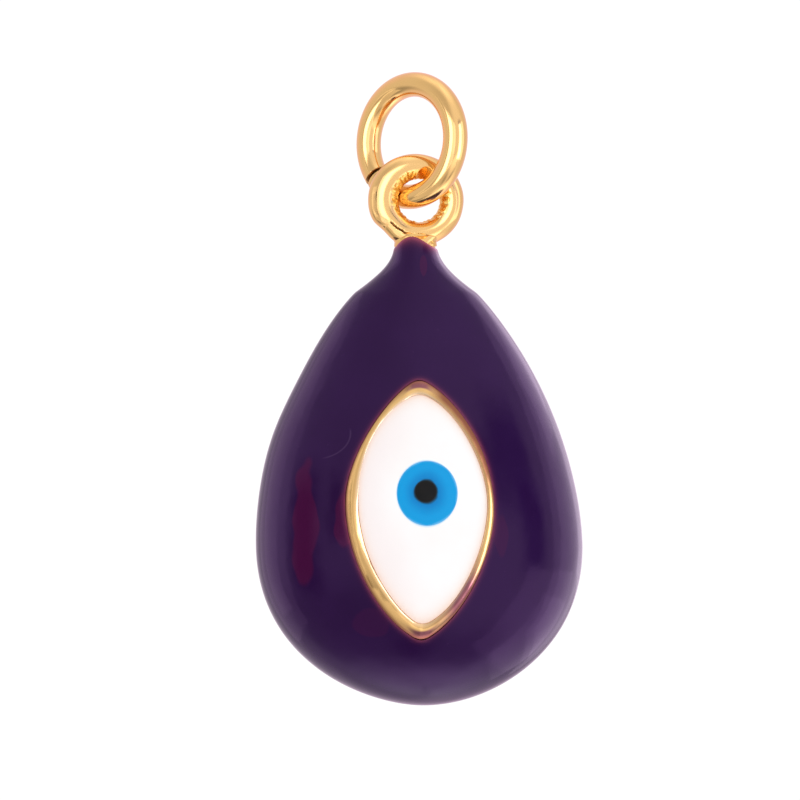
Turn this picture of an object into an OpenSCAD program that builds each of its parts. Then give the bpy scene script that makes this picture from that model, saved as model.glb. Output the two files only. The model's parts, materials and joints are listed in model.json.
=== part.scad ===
// Evil eye charm: an enamelled drop with a marquise eye, hanging from a split jump ring.
// Millimetres, +Z up, the eye faces -Y. The origin is the point inside the top of the
// jump ring where a chain, hook or ear wire bears.

/* [Drop] */
// Full width of the enamelled drop at its belly
drop_w = 11.82; // [10:0.02:14]
// Full depth of the drop, front to back
drop_d = 6.6; // [5.6:0.1:7.6]
// Height of the belly above the drop's lowest point
belly_z = 5.78; // [5.4:0.02:6.2]
// Radius of the neck at the top of the drop
neck_r = 0.8; // [0.7:0.02:0.9]
// Height at which the enamel ends on the neck
coat_top_z = 16.57; // [16.4:0.01:16.65]
// Height of the neck's flat top
neck_top_z = 16.75; // [16.7:0.01:16.9]

/* [Layers] */
// Thickness of the enamel coat
enamel_t = 0.3; // [0.2:0.02:0.36]
// Wall thickness of the pressed metal shells
shell_t = 0.5; // [0.3:0.05:0.7]
// Bond line between the enamel and the metal under it
bond_gap = 0.08; // [0.06:0.01:0.1]
// Thickness of the solder between the two shell halves
seam_t = 0.06; // [0.04:0.02:0.12]

/* [Eye] */
// Width of the eye over its gold rim
eye_w = 5.42; // [4.8:0.02:6]
// Height of the eye over its gold rim
eye_h = 9.33; // [8.6:0.01:9.8]
// Height of the eye's middle above the drop's lowest point
eye_z = 7.06; // [6.6:0.02:7.4]
// Sideways offset of the eye from the drop's middle
eye_x = 0.06; // [0:0.01:0.2]
// Width of the white enamel
white_w = 4.5; // [3.8:0.02:4.7]
// Height of the white enamel
white_h = 8.26; // [7.6:0.02:8.5]
// Sideways offset of the white enamel from the drop's middle
white_x = 0.15; // [0:0.01:0.25]
// Height that the gold rim stands above the enamel
rim_proud = 0.1; // [0.04:0.02:0.16]
// Diameter of the blue iris
iris_d = 2.28; // [1.8:0.02:2.8]
// Sideways offset of the iris from the drop's middle
iris_x = 0.3; // [0:0.02:0.4]
// Height of the iris above the drop's lowest point
iris_z = 7.65; // [7:0.02:8]
// Diameter of the black pupil
pupil_d = 0.86; // [0.6:0.02:1.2]

/* [Bail] */
// Radius of the bail loop, to the middle of its metal
bail_r = 1.38; // [1.36:0.01:1.4]
// Radius of the bail's round section
bail_tube_r = 0.37; // [0.34:0.01:0.38]
// Height of the bail's centre above the drop's lowest point
bail_z = 18.28; // [18.2:0.01:18.4]
// Turn of the bail about the vertical, its left side forward
bail_yaw = 10; // [8:1:12]

/* [Jump ring] */
// Outer diameter of the jump ring
ring_od = 5; // [4.9:0.05:5.4]
// Wire diameter of the jump ring
wire_d = 0.9; // [0.7:0.02:0.9]
// Turn of the jump ring about the vertical, its right side forward
ring_yaw = 40; // [38:1:44]
// Lean of the jump ring to the right
ring_roll = 5.4; // [4:0.1:7]
// Width of the split in the jump ring
split_gap = 0.1; // [0.04:0.02:0.2]
// Place of the split, anticlockwise from the ring's right side
split_at = 219; // [205:1:225]

/* [Hidden] */

gold = "#e0b060";
solder = "#c89a50";
purple = "#3a2050";

wire_r = wire_d / 2;
ring_r = ring_od / 2 - wire_r;
// The jump ring's centre, seen from the bail's centre
ring_from_bail = [-0.08, 0.15, 2.2];
// The bearing point inside the ring's top, seen from the ring's centre
bearing_from_ring = (ring_r - wire_r) * [sin(ring_roll), 0, cos(ring_roll)];
ring_centre = -bearing_from_ring;
bail_centre = ring_centre - ring_from_bail;
// The drop's lowest point: every height above is measured from here
drop_foot = bail_centre - [0, 0, bail_z];

// Insets of each layer's surfaces below the enamel's outer face
coat_inside = enamel_t - bond_gap;
shell_outside = enamel_t;
shell_inside = enamel_t + shell_t;
white_sink = 0.02;
white_depth = coat_inside;
iris_depth = 0.14;
pupil_depth = 0.08;

// The shells are closed by a flat top here, and their hollow ends a little lower
shell_top_z = 15.4;
hollow_top_z = 14.6;

// Numbers of points: round a level, along a half level, and up each side of the eye
around = 40;
half_around = 20;
eye_steps = 14;
curve_steps = 24;

// ---- outline of the drop -------------------------------------------------------------
// Outline points come in threes along cubic curves: foot to belly, belly to shoulder, and
// shoulder to neck. Each is [half extent, height].
function front_outline(w) = [
    [0, 0], [2.33, 0], [w, 1.8], [w, belly_z],
    [w, belly_z + 4.92], [2.49, 14.72], [2.16, 14.96],
    [0.99, 15.81], [neck_r, 16.26], [neck_r, 16.71]];
function side_outline(d) = [
    [0, 0], [1.6, 0], [d, 1.6], [d, belly_z],
    [d, belly_z + 4.4], [1.75, 13.9], [1.42, 14.7],
    [0.98, 15.75], [neck_r, 16.26], [neck_r, 16.71]];

function cubic(p, k, t) =
    pow(1 - t, 3) * p[k] + 3 * t * pow(1 - t, 2) * p[k + 1]
    + 3 * t * t * (1 - t) * p[k + 2] + pow(t, 3) * p[k + 3];
function along(p) = concat(
    [for (k = [0:3:len(p) - 4], i = [0:curve_steps - 1]) cubic(p, k, i / curve_steps)],
    [p[len(p) - 1]]);

// The outline moved inwards by t, square to itself
function unit(v) = v / norm(v);
function step_at(c, i) = c[min(i + 1, len(c) - 1)] - c[max(i - 1, 0)];
function inset_curve(c, t) = [for (i = [0:len(c) - 1])
    let (d = i == 0 ? [1, 0] : unit(step_at(c, i)))
    [max(0, c[i][0] - t * d[1]), c[i][1] + t * d[0]]];
function by_height(c) = [for (p = c) [p[1], p[0]]];

front_curve = along(front_outline(drop_w / 2));
side_curve = along(side_outline(drop_d / 2));
function widths(t) = by_height(inset_curve(front_curve, t));
function depths(t) = by_height(inset_curve(side_curve, t));

// Each layer is [inset, half widths by height, half depths by height]
function layer(t) = [t, widths(t), depths(t)];
coat_face = layer(0);
coat_back = layer(coat_inside);
metal_face = layer(shell_outside);
metal_back = layer(shell_inside);
white_face = layer(white_sink);
iris_floor = layer(iris_depth);
pupil_floor = layer(pupil_depth);
rim_face = layer(-rim_proud);

function half_w(l, z) = lookup(z, l[1]);
function half_d(l, z) = lookup(z, l[2]);
// A point on a layer at height z and at angle a round it: 0 is the front, 90 the right side
function on_level(l, z, a) = [half_w(l, z) * sin(a), -half_d(l, z) * cos(a), z];
// The point on a layer's front that lies straight behind [x, z]
function on_front(l, p) = [
    p[0], -half_d(l, p[1]) * sqrt(max(0, 1 - pow(p[0] / half_w(l, p[1]), 2))), p[1]];

// ---- solids from rows of points ----------------------------------------------------------
function flat_list(rows) = [for (r = rows) each r];
function two_triangles(a, b, c, d) = [[a, b, c], [a, c, d]];
function real_faces(pts, faces) = [for (f = faces)
    if (pts[f[0]] != pts[f[1]] && pts[f[1]] != pts[f[2]] && pts[f[2]] != pts[f[0]]) f];
// Faces between neighbouring rows of m points, from row r0 to row r1
function sheet_faces(m, r0, r1, wrap) = [for (i = [r0:r1 - 1], j = [0:m - (wrap ? 1 : 2)])
    let (k = (j + 1) % m)
    each two_triangles(i * m + j, (i + 1) * m + j, (i + 1) * m + k, i * m + k)];

// A closed solid from rings of points. The first and last ring shrink to a point or a line.
module ring_solid(rings) {
    pts = flat_list(rings);
    faces = sheet_faces(len(rings[0]), 0, len(rings) - 1, true);
    polyhedron(pts, real_faces(pts, faces));
}

// ---- the eye's outlines --------------------------------------------------------------------
// Half width of a lens of two arcs, w wide and h high, at height z from its middle
function lens_half(w, h, z) =
    let (r = (w * w + h * h) / (4 * w))
    sqrt(max(0, r * r - z * z)) - (r - w / 2);
// Height of step k up the eye, closer together at its tips
function eye_level(k) = -eye_h / 2 * cos(180 * k / eye_steps);
// Stations round the eye: up its right side from the lower tip, then down its left side
eye_stations = concat(
    [for (k = [0:eye_steps]) [1, eye_level(k)]],
    [for (k = [eye_steps - 1:-1:1]) [-1, eye_level(k)]]);
function rim_outside() = [for (s = eye_stations)
    [eye_x + s[0] * lens_half(eye_w, eye_h, s[1]), eye_z + s[1]]];
function rim_inside() = [for (s = eye_stations)
    let (z = s[1] * white_h / eye_h)
    [white_x + s[0] * lens_half(white_w, white_h, z), eye_z + z]];
iris_centre = [iris_x, iris_z];
function disc_edge(d) = [for (p = rim_inside()) iris_centre + d / 2 * unit(p - iris_centre)];
function between(a, b, t) = [for (i = [0:len(a) - 1]) a[i] * (1 - t) + b[i] * t];
function raised(l, ring) = [for (p = ring) on_front(l, p)];
function pole(l, count) = [for (i = [1:count]) on_front(l, iris_centre)];

// ---- placing -------------------------------------------------------------------------------
module on_drop() {
    translate(drop_foot) children();
}

// A round loop standing upright in the XZ plane
module loop(r, tube_r, angle = 360, start = 0) {
    rotate([90, 0, 0])
        rotate_extrude(angle = angle, start = start, $fn = 96)
            translate([r, 0]) circle(r = tube_r, $fn = 48);
}

// ---- metal body ------------------------------------------------------------------------------
// Levels of a half shell from its foot to its flat top, closer together at the foot
shell_steps = 22;
function shell_level(t, top, i) = t + (top - t) * (1 - cos(90 * i / shell_steps)) ;
// Half a level from left to right, side -1 at the front and 1 at the back
function half_level(l, z, side) = [for (j = [0:half_around])
    let (p = on_level(l, z, -90 + 180 * j / half_around))
    [p[0], -side * p[1] + side * seam_t / 2, z]];
function half_pole(z, side) = [for (j = [0:half_around]) [0, side * seam_t / 2, z]];
function backwards(row) = [for (j = [len(row) - 1:-1:0]) row[j]];
function shell_skin(l, top, side) = concat(
    [half_pole(l[0], side)],
    [for (i = [1:shell_steps]) half_level(l, shell_level(l[0], top, i), side)],
    [half_pole(top, side)]);

module half_shell(side) {
    outside = shell_skin(metal_face, shell_top_z, side);
    inside = shell_skin(metal_back, hollow_top_z, side);
    rings = [for (i = [0:len(outside) - 1])
        concat(outside[i], backwards(inside[i]))];
    ring_solid(side < 0 ? rings : [for (r = rings) backwards(r)]);
}

module front_shell() {
    color(gold) on_drop() half_shell(-1);
}

module back_shell() {
    color(gold) on_drop() half_shell(1);
}

// The seam's outline is the edge of a half shell: up its right side and down its left side
function shell_edge(l, top) = concat(
    [[0, l[0]]],
    [for (i = [1:shell_steps])
        let (z = shell_level(l[0], top, i)) [half_w(l, z), z]],
    [for (i = [shell_steps:-1:1])
        let (z = shell_level(l[0], top, i)) [-half_w(l, z), z]]);

module seam_solder() {
    color(solder) on_drop() translate([0, seam_t / 2, 0]) rotate([90, 0, 0])
        linear_extrude(seam_t) difference() {
            polygon(shell_edge(metal_face, shell_top_z));
            polygon(shell_edge(metal_back, hollow_top_z));
        }
}

// ---- enamel coat -----------------------------------------------------------------------------
// Levels of the coat: below the eye, past the eye, and from the eye up to the neck
foot_steps = 6;
head_steps = 11;
eye_foot_z = eye_z - eye_h / 2;
eye_head_z = eye_z + eye_h / 2;
function coat_levels(t) = concat(
    [for (i = [0:foot_steps - 1]) t + (eye_foot_z - t) * pow(i / foot_steps, 2)],
    [for (k = [0:eye_steps]) eye_z + eye_level(k)],
    [for (i = [1:head_steps]) eye_head_z + (coat_top_z - eye_head_z) * i / head_steps]);
first_eye_row = foot_steps;
last_eye_row = foot_steps + eye_steps;
last_row = last_eye_row + head_steps;

// Where the coat's edge runs beside the eye, or its middle line above and below the eye
function edge_angle(l, z, side) =
    asin((eye_x + side * max(0, lens_half(eye_w, eye_h, z - eye_z))) / max(half_w(l, z), 0.5));
// A level goes from the eye's right edge round the back to its left edge
function coat_level(l, z) =
    let (a = edge_angle(l, z, 1), b = 360 + edge_angle(l, z, -1))
    [for (j = [0:around]) on_level(l, z, a + (b - a) * j / around)];
function closed_level(l, z) = [for (row = [coat_level(l, z)], j = [0:around])
    j == around ? row[0] : row[j]];
function coat_skin(l) =
    let (levels = coat_levels(l[0]))
    [for (i = [0:last_row])
        i > first_eye_row && i < last_eye_row
            ? coat_level(l, levels[i]) : closed_level(l, levels[i])];

module enamel_coat() {
    m = around + 1;
    rows = last_row + 1;
    pts = concat(flat_list(coat_skin(coat_face)), flat_list(coat_skin(coat_back)));
    outside = sheet_faces(m, 0, last_row, false);
    inside = [for (f = outside) [for (i = [2:-1:0]) f[i] + rows * m]];
    // Walls between the two skins, down each side of the eye and round the neck's top
    right_wall = [for (i = [first_eye_row:last_eye_row - 1])
        each two_triangles(i * m, (rows + i) * m, (rows + i + 1) * m, (i + 1) * m)];
    left_wall = [for (i = [first_eye_row:last_eye_row - 1])
        each two_triangles((i + 1) * m + around, (rows + i + 1) * m + around,
                           (rows + i) * m + around, i * m + around)];
    top_wall = [for (j = [0:around - 1])
        each two_triangles(last_row * m + j, (rows + last_row) * m + j,
                           (rows + last_row) * m + j + 1, last_row * m + j + 1)];
    faces = concat(outside, inside, right_wall, left_wall, top_wall);
    color(purple) on_drop() polyhedron(pts, real_faces(pts, faces));
}

// ---- eye ---------------------------------------------------------------------------------------
module eye_rim() {
    crown_outside = between(rim_outside(), rim_inside(), 0.25);
    crown_inside = between(rim_outside(), rim_inside(), 0.6);
    rings = [raised(coat_back, rim_inside()), raised(white_face, rim_inside()),
             raised(rim_face, crown_inside), raised(rim_face, crown_outside),
             raised(coat_face, rim_outside()), raised(coat_back, rim_outside())];
    stations = [for (i = [0:len(eye_stations)])
        [for (r = rings) r[i % len(eye_stations)]]];
    color(gold) on_drop() ring_solid(stations);
}

// An enamel filling: a floor, an edge, a face, and a pocket for the next colour
module filling(outline, next_outline, floor, pocket) {
    count = len(outline);
    rings = concat(
        [pole(floor, count)],
        [for (t = [0.6, 0.3, 0]) raised(floor, between(outline, next_outline, t))],
        [for (t = [0, 0.33, 0.67, 1]) raised(white_face, between(outline, next_outline, t))],
        [raised(pocket, next_outline), pole(pocket, count)]);
    ring_solid(rings);
}

module eye_white() {
    color("white") on_drop()
        filling(rim_inside(), disc_edge(iris_d), coat_back, iris_floor);
}

module eye_iris() {
    color("deepskyblue") on_drop()
        filling(disc_edge(iris_d), disc_edge(pupil_d), iris_floor, pupil_floor);
}

module eye_pupil() {
    edge = disc_edge(pupil_d);
    count = len(edge);
    color("black") on_drop() ring_solid([
        pole(pupil_floor, count), raised(pupil_floor, edge),
        raised(white_face, edge), pole(white_face, count)]);
}

// ---- neck and bail -------------------------------------------------------------------------------
neck_steps = 6;
function round_level(r, z) = [for (j = [0:around - 1])
    [r * sin(360 * j / around), -r * cos(360 * j / around), z]];
function neck_level(z) = [for (j = [0:around - 1]) on_level(metal_face, z, 360 * j / around)];

module neck() {
    stem_r = neck_r - enamel_t;
    collar_z = coat_top_z + bond_gap;
    rings = concat(
        [round_level(0, shell_top_z)],
        [for (i = [0:neck_steps])
            neck_level(shell_top_z + (coat_top_z - shell_top_z) * i / neck_steps)],
        [round_level(stem_r, collar_z), round_level(neck_r, collar_z),
         round_level(neck_r, neck_top_z), round_level(0, neck_top_z)]);
    color(gold) on_drop() ring_solid(rings);
}

// Space below the neck's flat top
module below_neck_top() {
    translate([-bail_r * 2, -bail_r * 2, neck_top_z - bail_r * 4]) cube(bail_r * 4);
}

module bail_loop(tube_r) {
    translate([0, 0, bail_z]) rotate([0, 0, bail_yaw]) loop(bail_r, tube_r);
}

module bail_ring() {
    color(gold) on_drop() difference() {
        bail_loop(bail_tube_r);
        below_neck_top();
    }
}

// Two small fillets of solder, at the front and the back of the loop's foot
module bail_solder() {
    fillet_h = 0.3;
    color(solder) on_drop() difference() {
        translate([0, 0, neck_top_z])
            cylinder(h = fillet_h, r1 = neck_r, r2 = neck_r - 0.25, $fn = 64);
        bail_loop(bail_tube_r + 0.01);
    }
}

// ---- jump ring -------------------------------------------------------------------------------------
module jump_ring() {
    split_angle = split_gap / ring_r * 180 / PI;
    color(gold) translate(ring_centre) rotate([0, ring_roll, 0]) rotate([0, 0, -ring_yaw])
        loop(ring_r, wire_r, angle = 360 - split_angle, start = split_at + split_angle / 2);
}

front_shell();
back_shell();
seam_solder();
neck();
bail_ring();
bail_solder();
eye_rim();
enamel_coat();
eye_white();
eye_iris();
eye_pupil();
jump_ring();
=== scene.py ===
"""Looks of the evil eye charm: an enamelled drop with a marquise eye, hanging from a split jump ring.

Shapes are worked out in millimetres from the drop's lowest point, or from the middle of a ring, and
turned into the frame's metres when the mesh is made. Angles round the drop are 0 at the eye's side
and grow towards the right.
"""

import json
import math

import bpy
import bmesh
import numpy as np
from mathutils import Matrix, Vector, noise


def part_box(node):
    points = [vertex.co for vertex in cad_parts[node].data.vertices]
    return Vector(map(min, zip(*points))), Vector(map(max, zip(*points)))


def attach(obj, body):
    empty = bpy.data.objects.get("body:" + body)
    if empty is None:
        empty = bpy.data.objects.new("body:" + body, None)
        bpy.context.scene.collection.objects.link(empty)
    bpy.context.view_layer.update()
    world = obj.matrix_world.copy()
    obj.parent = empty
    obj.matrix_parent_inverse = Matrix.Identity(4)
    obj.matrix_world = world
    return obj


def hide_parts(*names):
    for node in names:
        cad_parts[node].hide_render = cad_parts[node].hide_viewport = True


MM = 0.001


# ---- places taken from the frame ----
def box_mm(node):
    """Lowest and highest corner of a CAD node, in millimetres."""
    low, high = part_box(node)
    return np.array(low) / MM, np.array(high) / MM


def middle_mm(node):
    low, high = box_mm(node)
    return (low + high) / 2


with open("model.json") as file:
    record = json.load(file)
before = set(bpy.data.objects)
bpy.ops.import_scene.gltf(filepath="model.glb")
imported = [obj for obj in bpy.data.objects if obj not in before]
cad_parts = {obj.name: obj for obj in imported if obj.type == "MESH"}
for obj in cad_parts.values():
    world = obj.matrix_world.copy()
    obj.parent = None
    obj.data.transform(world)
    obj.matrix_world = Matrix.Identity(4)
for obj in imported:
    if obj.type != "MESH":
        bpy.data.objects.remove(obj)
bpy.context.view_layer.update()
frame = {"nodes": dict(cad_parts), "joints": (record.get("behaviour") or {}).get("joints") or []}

neck_middle = middle_mm("neck")
FOOT = np.array([neck_middle[0], neck_middle[1], box_mm("enamel_coat")[0][2]])
RING_CENTRE = middle_mm("jump_ring")
SWING_AT = np.array(frame["joints"][0]["pos_m"]) / MM

# The drop and its layers, as in the CAD model
DROP_W = 11.82
DROP_D = 6.6
BELLY_Z = 5.78
NECK_R = 0.8
COAT_T = 0.22

# The bail loop: radius to the middle of its metal, radius of its section and turn about the vertical
BAIL_R = 1.38
BAIL_TUBE_R = 0.37
BAIL_YAW = math.radians(10)
BAIL_CENTRE = middle_mm("bail_ring")
BAIL_CENTRE[2] = box_mm("bail_ring")[1][2] - BAIL_R - BAIL_TUBE_R

# The jump ring: radius to the middle of its wire, radius of the wire, how the ring is turned, where
# it is split and how wide, how oblique the cut is and how far the wire's ends are rounded
RING_R = 2.05
WIRE_R = 0.45
RING_YAW = math.radians(40)
RING_ROLL = math.radians(5.4)
SPLIT_AT = math.radians(222.8)
SPLIT_GAP = 0.08
CUT_SLANT = 0.18
END_BEVEL = 0.035


# ---- curves and numbers ----
def smooth(x, low, high):
    """0 below low, 1 above high, and a smooth step between."""
    t = np.clip((np.asarray(x, float) - low) / (high - low), 0, 1)
    return t * t * (3 - 2 * t)


def bump(x, centre, width):
    """A bell of height 1 round centre."""
    return np.exp(-(((np.asarray(x, float) - centre) / width) ** 2))


def turn_apart(a, b):
    """Angle from b to a in degrees, between -180 and 180."""
    return (np.asarray(a, float) - b + 180) % 360 - 180


def xyz(*parts):
    """Points from their coordinates, each of which may be one number for all."""
    return np.stack(np.broadcast_arrays(*parts), axis=-1)


def bezier_path(points):
    """A smooth line through cubic curves, whose points come in threes."""
    p = np.array(points, float)
    t = np.linspace(0, 1, 121)[:-1, None]
    parts = []
    for k in range(0, len(p) - 3, 3):
        a, b, c, d = p[k : k + 4]
        parts.append((1 - t) ** 3 * a + 3 * t * (1 - t) ** 2 * b + 3 * t * t * (1 - t) * c + t**3 * d)
    return np.vstack([*parts, p[-1:]])


def even_points(path, count):
    """count points along a line, the same distance apart."""
    length = np.concatenate([[0], np.cumsum(np.linalg.norm(np.diff(path, axis=0), axis=1))])
    at = np.linspace(0, length[-1], count)
    return np.stack([np.interp(at, length, path[:, k]) for k in range(path.shape[1])], axis=1)


def round_curve(degrees, stops):
    """A smooth value round a circle, through stops of (angle in degrees, value)."""
    angles = np.array([s[0] for s in stops], float)
    values = np.array([s[1] for s in stops], float)
    at = np.asarray(degrees, float) % 360
    angles = np.concatenate([angles - 360, angles, angles + 360])
    values = np.tile(values, 3)
    slopes = np.gradient(values, angles)
    k = np.clip(np.searchsorted(angles, at) - 1, 0, len(angles) - 2)
    span = angles[k + 1] - angles[k]
    t = (at - angles[k]) / span
    return (
        (2 * t**3 - 3 * t**2 + 1) * values[k]
        + (t**3 - 2 * t**2 + t) * span * slopes[k]
        + (3 * t**2 - 2 * t**3) * values[k + 1]
        + (t**3 - t**2) * span * slopes[k + 1]
    )


def noise_at(points, scale, seed):
    """Smooth noise between -1 and 1 at each point."""
    shift = Vector((seed, seed * 0.7, seed * 1.3))
    flat = np.reshape(points, (-1, 3)) * scale
    values = [noise.noise(Vector(p) + shift) for p in flat]
    return np.reshape(values, np.shape(points)[:-1])


# ---- meshes ----
SHARP_ANGLE = math.radians(50)


def sheet_faces(rows, columns, start=0, wrap=False, flip=False):
    """Quads between neighbouring rows of a grid of points."""
    index = start + np.arange(rows * columns).reshape(rows, columns)
    if wrap:
        index = np.hstack([index, index[:, :1]])
    corners = [index[:-1, :-1], index[:-1, 1:], index[1:, 1:], index[1:, :-1]]
    quads = np.stack([c.ravel() for c in corners], axis=1)
    return quads[:, ::-1] if flip else quads


def torus_faces(stations, section):
    """Quads of a closed tube whose stations also close on themselves."""
    index = np.arange(stations * section).reshape(stations, section)
    along = np.roll(index, -1, axis=0)
    corners = [index, along, np.roll(along, -1, axis=1), np.roll(index, -1, axis=1)]
    return np.stack([c.ravel() for c in corners], axis=1)


def capped(rings):
    """Rings of points, with a ring shrunk to its middle added before the first and after the last."""
    ends = [np.repeat(r.mean(axis=0)[None], r.shape[0], axis=0) for r in (rings[0], rings[-1])]
    return np.concatenate([ends[0][None], rings, ends[1][None]])


def show(name, data):
    """A new object in the scene."""
    thing = bpy.data.objects.new(name, data)
    bpy.context.scene.collection.objects.link(thing)
    return thing


def add_piece(names, points, faces, material, values, body="pendant"):
    """A closed, smooth piece from points in millimetres, with its values at each of them.

    names are the piece's own, its material slot's, which is not used, and that of the CAD node it
    stands for."""
    name, slot, node = names
    mesh = bpy.data.meshes.new(name)
    mesh.from_pydata((np.reshape(points, (-1, 3)) * MM).tolist(), [], np.asarray(faces).tolist())
    for key, value in values.items():
        layer = mesh.attributes.new(key, "FLOAT", "POINT")
        layer.data.foreach_set("value", np.ravel(value).astype(np.float32))
    bm = bmesh.new()
    bm.from_mesh(mesh)
    bmesh.ops.remove_doubles(bm, verts=bm.verts, dist=1e-8)
    bmesh.ops.dissolve_degenerate(bm, edges=bm.edges, dist=1e-9)
    bmesh.ops.recalc_face_normals(bm, faces=bm.faces)
    bm.to_mesh(mesh)
    bm.free()
    mesh.shade_smooth()
    mesh.set_sharp_from_angle(angle=SHARP_ANGLE)
    mesh.materials.append(material)
    piece = show(name, mesh)
    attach(piece, body)
    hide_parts(node)
    return piece


# ---- material helpers ----
# Sockets of the mix node's colours. Its number, vector and colour sockets share their names.
MIX_COLOUR_A = 6
MIX_COLOUR_B = 7
MIX_COLOUR = 2


class Nodes:
    """A node tree, with short ways to add nodes and to join them."""

    def __init__(self, tree):
        self.tree = tree

    def node(self, kind, **settings):
        node = self.tree.nodes.new(kind)
        for key, value in settings.items():
            setattr(node, key, value)
        return node

    def link(self, value, socket):
        """Sets a socket to a number, a colour or another node's output."""
        if isinstance(value, bpy.types.NodeSocket):
            self.tree.links.new(value, socket)
        elif isinstance(value, tuple) and len(value) == 3 and len(socket.default_value) == 4:
            socket.default_value = (*value, 1)
        else:
            socket.default_value = value

    def fill(self, node, **values):
        """Sets inputs of a node, with _ for each space in their names."""
        for key, value in values.items():
            self.link(value, node.inputs[key.replace("_", " ")])

    def math(self, operation, a, b=0.0):
        node = self.node("ShaderNodeMath", operation=operation)
        self.link(a, node.inputs[0])
        self.link(b, node.inputs[1])
        return node.outputs[0]

    def plus(self, base, *shares):
        """base with each (value, weight) added."""
        for value, weight in shares:
            base = self.math("ADD", base, self.math("MULTIPLY", value, weight))
        return base

    def spread(self, value, low, high, to_low=0.0, to_high=1.0):
        """Maps low..high to to_low..to_high, smoothly and clamped."""
        node = self.node("ShaderNodeMapRange", interpolation_type="SMOOTHSTEP")
        self.fill(node, Value=value, From_Min=low, From_Max=high, To_Min=to_low, To_Max=to_high)
        return node.outputs[0]


class Shader(Nodes):
    """Node tree of one material, with its points measured in millimetres."""

    def __init__(self, name):
        self.material = bpy.data.materials.new(name)
        self.material.use_nodes = True
        super().__init__(self.material.node_tree)
        self.bsdf = self.tree.nodes["Principled BSDF"]
        place = self.node("ShaderNodeTexCoord").outputs["Object"]
        scale = self.node("ShaderNodeVectorMath", operation="SCALE")
        self.fill(scale, Vector=place, Scale=1 / MM)
        self.mm = scale.outputs[0]

    def set(self, **values):
        """Sets inputs of the surface shader."""
        self.fill(self.bsdf, **values)

    def attribute(self, name):
        return self.node("ShaderNodeAttribute", attribute_name=name).outputs["Fac"]

    def noise(self, per_mm, detail=2.0, roughness=0.5, stretch=None):
        """Noise between 0 and 1, with about per_mm features to the millimetre."""
        vector = self.mm
        if stretch:
            mapping = self.node("ShaderNodeMapping")
            self.fill(mapping, Vector=vector, Scale=stretch)
            vector = mapping.outputs[0]
        node = self.node("ShaderNodeTexNoise")
        self.fill(node, Vector=vector, Scale=per_mm, Detail=detail, Roughness=roughness)
        return node.outputs["Fac"]

    def blend(self, factor, a, b):
        """Colour a where factor is 0 and b where it is 1."""
        node = self.node("ShaderNodeMix", data_type="RGBA")
        self.link(factor, node.inputs["Factor"])
        self.link(a, node.inputs[MIX_COLOUR_A])
        self.link(b, node.inputs[MIX_COLOUR_B])
        return node.outputs[MIX_COLOUR]

    def relief(self, height, depth_mm, under=None):
        """A normal from a height between 0 and 1, depth_mm deep."""
        node = self.node("ShaderNodeBump")
        self.fill(node, Strength=1.0, Distance=depth_mm * MM, Height=height)
        if under is not None:
            self.fill(node, Normal=under)
        return node.outputs[0]


# ---- materials ----
GOLD = (0.86, 0.53, 0.21)
GOLD_WORN = (0.83, 0.50, 0.19)
# Deeper orange for the rough bore and the solder's pits: painted interreflection
GOLD_INTERREFLECTION = (0.86, 0.52, 0.13)
GOLD_GLAZED = (0.86, 0.68, 0.55)
GOLD_BROWN = (0.28, 0.105, 0.058)
# Painted shade for the loop's crevice and pits and for the jump ring's cut; also the rim's dark spots
GOLD_DARK = (0.09, 0.032, 0.008)
WIRE_WORN = (0.84, 0.51, 0.195)
SOLDER = (0.80, 0.48, 0.17)
# Mauve over the gold: the purple enamel's thin film, and at the rim's tips a painted reflection of the
# purple enamel
MAUVE_FILM_AND_REFLECTION = (0.30, 0.11, 0.13)

PURPLE = (0.0165, 0.0036, 0.0335)
PURPLE_LIGHT = (0.0190, 0.0046, 0.0385)
PURPLE_SPECK = (0.045, 0.016, 0.075)
PURPLE_SCRATCH = (0.09, 0.05, 0.12)
PURPLE_THIN = (0.30, 0.06, 0.09)
PURPLE_GLOSS = (0.75, 0.45, 1.0)
# Wine red: painted reflections of dark surroundings on the purple enamel
WINE_REFLECTION = (0.048, 0.0042, 0.034)

WHITE = (0.93, 0.92, 0.90)
WHITE_WARM = (0.92, 0.90, 0.87)
# Rosy tone on the white's left side: painted shade
WHITE_PAINTED_SHADE = (0.90, 0.84, 0.815)
WHITE_GOLDEN = (0.88, 0.66, 0.52)
WHITE_BLUED = (0.30, 0.62, 0.85)

BLUE = (0.004, 0.32, 0.69)
BLUE_DEEP = (0.002, 0.20, 0.53)
BLUE_PALE = (0.12, 0.46, 0.78)
BLUE_BLACK = (0.006, 0.05, 0.10)
BLACK = (0.0045, 0.0045, 0.005)
BLACK_WARM = (0.008, 0.007, 0.007)
BLACK_BLUE = (0.01, 0.03, 0.045)

# Wine red streaks painted on the enamel's front as reflections of dark surroundings, as (centre, radii,
# amount) seen from the front
REFLECTION_STREAKS = [
    ((-4.12, 6.5), (0.44, 1.95), 0.9),
    ((-2.75, 6.9), (0.32, 1.1), 0.9),
    ((-1.85, 3.0), (0.6, 0.45), 0.28),
    ((2.95, 6.1), (0.25, 0.8), 0.4),
    ((0.28, 15.9), (0.13, 0.4), 0.6),
]
# A scratch on the enamel, as part of an ellipse seen from the front
SCRATCH_CENTRE = (-3.74, 9.9)
SCRATCH_RADII = (1.3, 0.93)


def scratches(s, per_mm):
    """Fine hairlines in two directions, between 0 and 1."""
    one = s.noise(per_mm, detail=3.0, stretch=(9.0, 9.0, 0.5))
    two = s.noise(per_mm * 0.8, detail=3.0, stretch=(0.6, 8.0, 8.0))
    return s.math("MAXIMUM", s.spread(one, 0.62, 0.75), s.spread(two, 0.64, 0.76))


def worn(s, wear, amount, fresh, tone):
    """A fresh colour that goes over to another where the wear is strong."""
    return s.blend(s.spread(wear, 0.35, 0.7, 0.0, amount), fresh, tone)


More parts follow.
